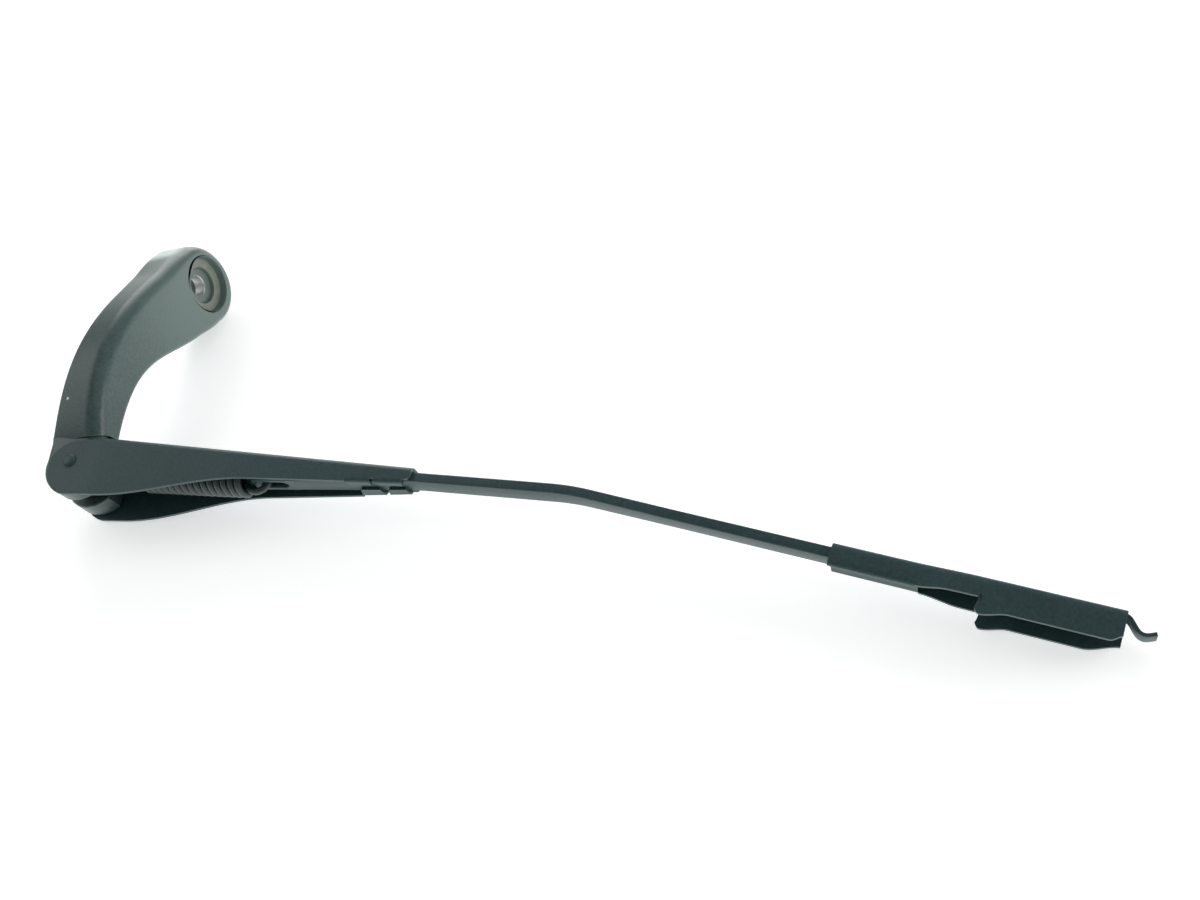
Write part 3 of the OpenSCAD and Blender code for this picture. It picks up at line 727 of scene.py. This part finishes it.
def rodPath(values):
    # the angle that the bar points down is a function of the distance along it; x and z are its sums
    kink = values["kink"]
    bend = np.radians(placeValues["bend"])
    tangent = values["bendR"] * np.tan(bend / 2)
    first = placeValues["armEnd"] + placeValues["slopeGap"] - values["blockEnd"]
    arcStart = first + placeValues["bendAt"] - tangent
    s = np.concatenate([
        [0.0], np.linspace(first - kink, first + kink, 5), np.linspace(first + 2 * kink, arcStart, 12),
        arcStart + values["bendR"] * bend * np.linspace(0.05, 1, 16),
    ])
    rest = placeValues["reach"] - tangent + values["tail"]
    s = np.concatenate([s, s[-1] + rest * np.linspace(0.03, 1, 36)])
    slope = np.radians(placeValues["slope"]) * smoothStep(s, first - kink, first + kink)
    slope += bend * np.clip((s - arcStart) / (values["bendR"] * bend), 0, 1)
    fine = np.linspace(0, s[-1], 4000)
    fineSlope, step = np.interp(fine, s, slope)[:-1], np.diff(fine)
    x = values["blockEnd"] + np.concatenate([[0], np.cumsum(np.cos(fineSlope) * step)])
    z = placeValues["rodZ"] - np.concatenate([[0], np.cumsum(np.sin(fineSlope) * step)])
    turned = smoothStep(s, arcStart + values["twistStart"], arcStart + values["twistEnd"])
    return np.interp(s, fine, x), np.interp(s, fine, z), slope, np.radians(placeValues["twist"]) * turned


def roundedBox(wide, thick, radius, steps=4):
    # a rectangle with a quarter circle at each corner
    points = []
    for cx, cy, start in ((1, 1, 0), (-1, 1, 90), (-1, -1, 180), (1, -1, 270)):
        for q in np.radians(np.linspace(start, start + 90, steps)):
            x, y = cx * (wide / 2 - radius), cy * (thick / 2 - radius)
            points.append((x + radius * np.cos(q), y + radius * np.sin(q)))
    return np.array(points)


def capped(rows):
    # both ends closed to the middle of their row
    first, last = (np.repeat(rows[i].mean(0)[None], rows.shape[1], 0)[None] for i in (0, -1))
    return np.concatenate([first, rows, last])


def barGrid(values):
    # the rounded box turned by the twist and carried along the path
    x, z, slope, twist = rodPath(values)
    box = roundedBox(values["wide"], values["thick"], values["round"])
    y = box[:, 0] * np.cos(twist)[:, None] - box[:, 1] * np.sin(twist)[:, None]
    h = box[:, 0] * np.sin(twist)[:, None] + box[:, 1] * np.cos(twist)[:, None]
    rows = np.stack([x[:, None] + h * np.sin(slope)[:, None], y, z[:, None] + h * np.cos(slope)[:, None]], -1)
    return capped(rows)


def slotGrid(values):
    # slotted start of the bar: the space between its outline and the slot, closed round both ways
    half, t, e = values["wide"] / 2, values["thick"] / 2, values["slotEdge"]
    a = np.linspace(0, 2 * np.pi, 96, endpoint=False)
    start, end = values["start"], values["blockEnd"]
    c, s = np.cos(a), np.sin(a)
    scale = 1 / np.maximum(np.abs(c) / ((end - start) / 2), np.abs(s) / half)
    outer = np.stack([(start + end) / 2 + c * scale, s * scale], 1)
    tip = np.clip((start + values["tipLen"] - outer[:, 0]) / values["tipLen"], 0, 1)
    outer[:, 1] *= 1 - values["tipNarrow"] * tip ** 2
    r = values["slotWide"] / 2
    # the slot is all points at the distance r from a line along its middle
    x = np.clip(outer[:, 0], values["slotX"] + r, values["slotX"] + values["slotLen"] - r)
    line = np.stack([x, 0 * x], 1)
    away = outer - line
    away /= np.maximum(np.linalg.norm(away, axis=1)[:, None], 1e-6)
    columns = []
    for onSlot, inset, h in (
        (True, -e, t), (True, 0, t - e), (True, 0, e - t), (True, -e, -t),
        (False, e, -t), (False, 0, e - t), (False, 0, t - e), (False, e, t),
    ):
        q = line + away * (r - inset) if onSlot else outer - away * inset
        if not onSlot:
            q[:, 0] = np.where(outer[:, 0] > end - 0.01, end, q[:, 0])
        columns.append(np.stack([q[:, 0], q[:, 1], placeValues["rodZ"] + h + 0 * a], -1))
    return np.stack(columns, 1)


rodGrids = [(barGrid(rodValues), False, True), (slotGrid(rodValues), True, True)]
buildPiece("flatRod", rodGrids, armFrame, sheetCoat, "arm_body", ("rod",), sharp=50)
print("stage: rod built")


# tension spring: one wire, eye, coils, eye
springValues = {
    "r": 6.0, "wire": 1.48, "start": 39.0, "end": 88.5, "turns": 14, "nearEye": 4.0, "nearX": 33.0,
    "nearArc": (15, 330), "coilStart": 50, "coilExtra": 300, "farArc": (165, -150), "farRise": 0.18,
    "fixed": 29.0, "keep": 0.9,
}


def springPath(values):
    # near eye in the XY plane, a helix of close turns, far eye in the XZ plane, joined by cubic curves
    r = values["r"]
    far = np.hypot(placeValues["eyeX"] - anchorArm[0], placeValues["rodZ"] - anchorArm[1])
    a = np.radians(np.linspace(*values["nearArc"], 40))
    near = np.stack([values["nearX"] + values["nearEye"] * np.cos(a), values["nearEye"] * np.sin(a), 0 * a], 1)
    phi = np.radians(np.linspace(
        values["coilStart"], 360 * values["turns"] + values["coilExtra"], values["turns"] * 32 + 22,
    ))
    x = np.linspace(values["start"], values["end"], len(phi))
    coil = np.stack([x, r * np.cos(phi), r * np.sin(phi)], 1)
    b = np.radians(np.linspace(*values["farArc"], 44))
    eye = placeValues["eyeR"] * np.stack([np.cos(b), 0 * b, np.sin(b)], 1)
    eye = eye + [far, 0, values["farRise"]]
    out = [near[-1], near[-1] + [2.0, 3.4, 0], coil[0] - [0, -2.3, 1.9], coil[0]]
    back = [coil[-1], coil[-1] + [0.6, 2.6, 1.5], eye[0] - [0.8, 0, 3.6], eye[0]]
    t = np.linspace(0, 1, 18)[1:-1]
    return np.concatenate([near, bezier(out, t), coil, bezier(back, t), eye])


springGrid = (tube(springPath(springValues), springValues["wire"]), False, True)
spring = buildPiece(
    "tensionSpring", [springGrid], lineFrame, springCoat, "link_body", ("tension_spring",), sharp=60,
)
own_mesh(spring)
print("stage: spring built")


# blade connector: folded sheet crimped on the bar
conValues = {
    "end": 92.8, "sleeve": 29.5, "thick": 1.5, "sleeveHalf": 6.1, "half": 7.4, "widen": (-4.0, 20.0),
    "top": 3.45, "bend": 2.3, "fold": 1.5, "flange": -3.4, "flangeGap": 0.4, "flangeRamp": 1.4,
    "hook": 50.0, "cutTop": -3.65, "cutRamp": 10.0, "dipRamp": 13.0, "slant": 1.9, "slantRamp": (1.5, 9.5),
    "hookRound": 1.5, "hookRise": 1.7, "lean": 1.4, "leanRamp": 8.0, "leanTop": 0.9, "leanDrop": 1.6,
    "near": {"roll": -4.9, "low": -7.4, "cut": 1.2, "dip": 0.0, "endRise": 2.2, "endRamp": (-3.5, 0.4)},
    "far": {"roll": -3.9, "low": -8.55, "cut": 0.3, "dip": 1.5, "endRise": 3.4, "endRamp": (-11.0, 1.0)},
}


def conHalf(x, values):
    # half width: the sleeve's, then a smooth widening to the channel's
    start, stop = values["widen"]
    wider = smoothStep(x, values["sleeve"] + start, values["sleeve"] + stop)
    return values["sleeveHalf"] + (values["half"] - values["sleeveHalf"]) * wider


def conWall(x, wall, values):
    # lower edge of one wall beyond the sleeve: a cut-out, then the deep part with a hooked start
    hook, end, sleeve = values["hook"], values["end"], values["sleeve"]
    start, stop = values["slantRamp"]
    cut = values["cutTop"] - wall["cut"] * (1 - smoothStep(x, sleeve, sleeve + values["cutRamp"]))
    cut = cut - wall["dip"] * smoothStep(x, sleeve, sleeve + values["dipRamp"])
    deep = wall["low"] - values["slant"] * (1 - smoothStep(x, hook + start, hook + stop))
    start, stop = wall["endRamp"]
    deep = deep + wall["endRise"] * smoothStep(x, end + start, end + stop)
    deep = deep + values["hookRise"] * np.clip(1 - (x - hook) / values["hookRound"], 0, 1) ** 2
    return np.where(x < hook, cut, deep)


def rolledWall(sign, x, values):
    # sleeve wall: it rolls under the bar and ends in a flange near the middle
    wall, f = values["near" if sign < 0 else "far"], values["fold"]
    half, roll, shoulder = conHalf(x, values), wall["roll"], values["top"] - values["bend"]
    cols = []
    for u in (1.0, 0.65, 0.3):
        z = roll + (values["flange"] - roll) * min(1, u * values["flangeRamp"])
        cols.append((x, sign * ((half - f) * (1 - u) + values["flangeGap"] * u), z + 0 * x))
    for q in np.radians(np.linspace(100, 12, 8)):
        cols.append((x, sign * (half - f + f * np.cos(q)), roll + f - f * np.sin(q) + 0 * x))
    for u in (0.7, 0.35):
        cols.append((x, sign * half, shoulder + (roll + f - shoulder) * u + 0 * x))
    return cols


def openWall(sign, x, values):
    # channel wall: the front of its deep part slants and its foot hooks forward
    wall, cutTop = values["near" if sign < 0 else "far"], values["cutTop"]
    edge, shoulder = conWall(x, wall, values), values["top"] - values["bend"]
    near = np.where(x >= values["hook"], np.clip(1 - (x - values["hook"]) / values["leanRamp"], 0, 1), 0)
    cols = []
    for u in np.linspace(1, 0, 12)[:-1]:
        z = shoulder + (edge - shoulder) * u
        below = np.clip((cutTop - z) / (cutTop - wall["low"]), 0, 1)
        lean = values["lean"] * near * (values["leanTop"] - values["leanDrop"] * below)
        cols.append((x + np.where(z < cutTop, lean, 0), sign * conHalf(x, values), z))
    return cols


def foldedSheet(makeWall, x, values):
    # near wall, back with its two bends, far wall
    back = backColumns(conHalf(x, values), values["top"], values["bend"], 8, (0.25, 0.5, 0.75))
    cols = makeWall(-1, x, values) + [(x, y, z + 0 * x) for y, z in back] + makeWall(1, x, values)[::-1]
    section = np.stack([np.stack(column, -1) for column in cols], 1)
    return sheetShell(section, values["thick"], (0, 0, 1))


def conGrids(values):
    sleeve, hook, end = values["sleeve"], values["hook"], values["end"]
    openX = np.concatenate([
        np.linspace(sleeve, hook - 0.01, 30), np.linspace(hook, hook + 10, 22),
        np.linspace(hook + 10.5, end, 34),
    ])
    closed = foldedSheet(rolledWall, np.linspace(0, sleeve, 12), values)
    return closed + foldedSheet(openWall, openX, values)


tongueValues = {
    "half": 3.25, "thick": 1.3, "round": 0.35, "smoothing": 20,
    "knots": (
        (-2.5, 0), (-0.6, 0), (0.9, -0.5), (2.3, -2.3), (3.6, -4.0), (4.9, -4.9),
        (6.3, -4.9), (7.6, -4.4), (9.1, -3.7),
    ),
}


def tongueGrid(values):
    # S shape: out of the back, down, and up a little at the tip, carried by a rounded box
    knots = np.array(values["knots"])
    s = np.arange(len(knots))
    fine = np.linspace(0, len(knots) - 1, 60)
    path = np.stack([np.interp(fine, s, knots[:, 0]), np.interp(fine, s, knots[:, 1])], 1)
    # smoothed by averaging each point with its neighbours
    for _ in range(values["smoothing"]):
        path[1:-1] = (path[:-2] + 2 * path[1:-1] + path[2:]) / 4
    step = np.gradient(path, axis=0)
    step /= np.linalg.norm(step, axis=1)[:, None]
    normal = np.stack([-step[:, 1], step[:, 0]], 1)
    path = path + [conValues["end"], conValues["top"] - values["thick"] / 2]
    box = roundedBox(2 * values["half"], values["thick"], values["round"])
    q = path[:, None] + normal[:, None] * box[:, 1][None, :, None]
    rows = np.stack([q[..., 0], np.broadcast_to(box[:, 0], q.shape[:2]), q[..., 1]], -1)
    return (capped(rows), False, True)


buildPiece("connectorSheet", conGrids(conValues), conFrame, sheetCoat, "arm_body", ("blade_connector",))
buildPiece("connectorTongue", [tongueGrid(tongueValues)], conFrame, sheetCoat, "arm_body", ("blade_connector",))
print("stage: connector built")


# ground the arm lies on, seen from its upper side only
groundValues = {
    "normal": (-0.228, -0.967, 0.1145), "gap": 0.0003, "size": 3.0, "colour": 0.9, "roughness": 0.9,
    "specular": 0.1, "lift": 0.52, "bounce": 0.9,
}


def makePaper(values):
    # the paper glows, so that it reads as white and lights the undersides; its back is clear
    mat = bpy.data.materials.new("groundPaper")
    mat.use_nodes = True
    tree = mat.node_tree
    shader = tree.nodes["Principled BSDF"]
    feed(tree, shader.inputs["Base Color"], rgba([values["colour"]] * 3))
    feed(tree, shader.inputs["Roughness"], values["roughness"])
    feed(tree, shader.inputs["Specular IOR Level"], values["specular"])
    feed(tree, shader.inputs["Emission Color"], (1, 1, 1, 1))
    direct = addNode(tree, "ShaderNodeLightPath").outputs["Is Camera Ray"]
    glow = calc(tree, "MULTIPLY_ADD", direct, values["lift"] - values["bounce"], values["bounce"])
    feed(tree, shader.inputs["Emission Strength"], glow)
    clear = addNode(tree, "ShaderNodeBsdfTransparent")
    mix = addNode(tree, "ShaderNodeMixShader")
    feed(tree, mix.inputs[0], addNode(tree, "ShaderNodeNewGeometry").outputs["Backfacing"])
    feed(tree, mix.inputs[1], shader.outputs[0])
    feed(tree, mix.inputs[2], clear.outputs[0])
    feed(tree, tree.nodes["Material Output"].inputs["Surface"], mix.outputs[0])
    return mat


def makeGround(values):
    normal = Vector(values["normal"]).normalized()
    side = normal.cross(Vector((0, 0, 1))).normalized()
    ahead = normal.cross(side)
    # the plane lies a small gap below the lowest point of the part at rest
    lowest = min((obj.matrix_world @ vert.co).dot(normal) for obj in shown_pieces() for vert in obj.data.vertices)
    centre = normal * (lowest - values["gap"])
    half = values["size"] / 2
    corners = [centre + side * a * half + ahead * b * half for a, b in ((-1, -1), (1, -1), (1, 1), (-1, 1))]
    mesh = bpy.data.meshes.new("ground")
    mesh.from_pydata([tuple(c) for c in corners], [], [(0, 1, 2, 3)])
    if mesh.polygons[0].normal.dot(normal) < 0:
        mesh.flip_normals()
    obj = bpy.data.objects.new("ground", mesh)
    scene.collection.objects.link(obj)
    mesh.materials.append(makePaper(values))
    obj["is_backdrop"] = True


makeGround(groundValues)


# camera at the photo's angle
cameraValues = {
    "place": (0.33061, -0.37190, 0.39101),
    "right": (-0.07008, 0.37012, 0.92634), "up": (-0.88539, -0.45087, 0.11316),
    "back": (0.45954, -0.81224, 0.35929), "lens": 36.0, "sensor": 36.0, "near": 0.01,
}
cameraData = bpy.data.cameras.new("camera")
cameraData.sensor_width = cameraValues["sensor"]
cameraData.lens = cameraValues["lens"]
cameraData.clip_start = cameraValues["near"]
camera = bpy.data.objects.new("camera", cameraData)
scene.collection.objects.link(camera)
axes = [Vector(cameraValues[k]) for k in ("right", "up", "back")]
camera.matrix_world = Matrix.Translation(Vector(cameraValues["place"])) @ Matrix(axes).transposed().to_4x4()
scene.camera = camera
scene.view_settings.view_transform = "Standard"


# world: a pale room, dimmer towards the viewer, and plain white where the camera sees it
worldValues = {"colour": (0.94, 1.0, 1.0), "strength": 0.3, "dim": 0.22, "dimming": (0.35, 0.98)}


def makeWorld(values):
    world = bpy.data.worlds.new("paleRoom")
    scene.world = world
    world.use_nodes = True
    tree = world.node_tree
    background = tree.nodes["Background"]
    towards = addNode(tree, "ShaderNodeVectorMath", operation="DOT_PRODUCT")
    feed(tree, towards.inputs[0], addNode(tree, "ShaderNodeTexCoord").outputs["Generated"])
    towards.inputs[1].default_value = cameraValues["back"]
    room = ramp(tree, towards.outputs["Value"], *values["dimming"], values["strength"], values["dim"])
    direct = addNode(tree, "ShaderNodeLightPath").outputs["Is Camera Ray"]
    feed(tree, background.inputs["Color"], mixColour(tree, direct, rgba(values["colour"]), (1, 1, 1, 1)))
    pick = addNode(tree, "ShaderNodeMix", data_type="FLOAT")
    for socket, source in zip((0, 2, 3), (direct, room, 1.0)):
        feed(tree, pick.inputs[socket], source)
    feed(tree, background.inputs["Strength"], pick.outputs[0])


makeWorld(worldValues)


# lights: each direction is measured along the camera's right and up and out of the ground
lightValues = {
    "right": {"right": 1.0, "up": 0.0, "out": 0.33, "distance": 0.8, "size": 0.4, "power": 3.0},
    "sky": {"right": 0.6, "up": 0.2, "out": 1.0, "distance": 1.4, "size": 1.6, "power": 3.0},
    "left": {"right": -1.0, "up": 0.35, "out": 0.35, "distance": 2.0, "size": 1.7, "power": 10.0},
    "rear": {"right": -0.45, "up": 1.2, "out": -0.55, "distance": 1.0, "size": 0.7, "power": 4.2},
}
lightAim = Vector((0.12, 0.0, 0.15))
groundNormal = Vector(groundValues["normal"]).normalized()


def addLight(name, values):
    data = bpy.data.lights.new(name, "AREA")
    data.shape = "DISK"
    data.size = values["size"]
    data.energy = values["power"]
    obj = bpy.data.objects.new(name, data)
    scene.collection.objects.link(obj)
    direction = (axes[0] * values["right"] + axes[1] * values["up"] + groundNormal * values["out"]).normalized()
    obj.location = lightAim + direction * values["distance"]
    obj.rotation_euler = direction.to_track_quat("Z", "Y").to_euler()
    obj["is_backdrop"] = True


for lightName, values in lightValues.items():
    addLight(lightName + "Light", values)
print("stage: camera and light set")
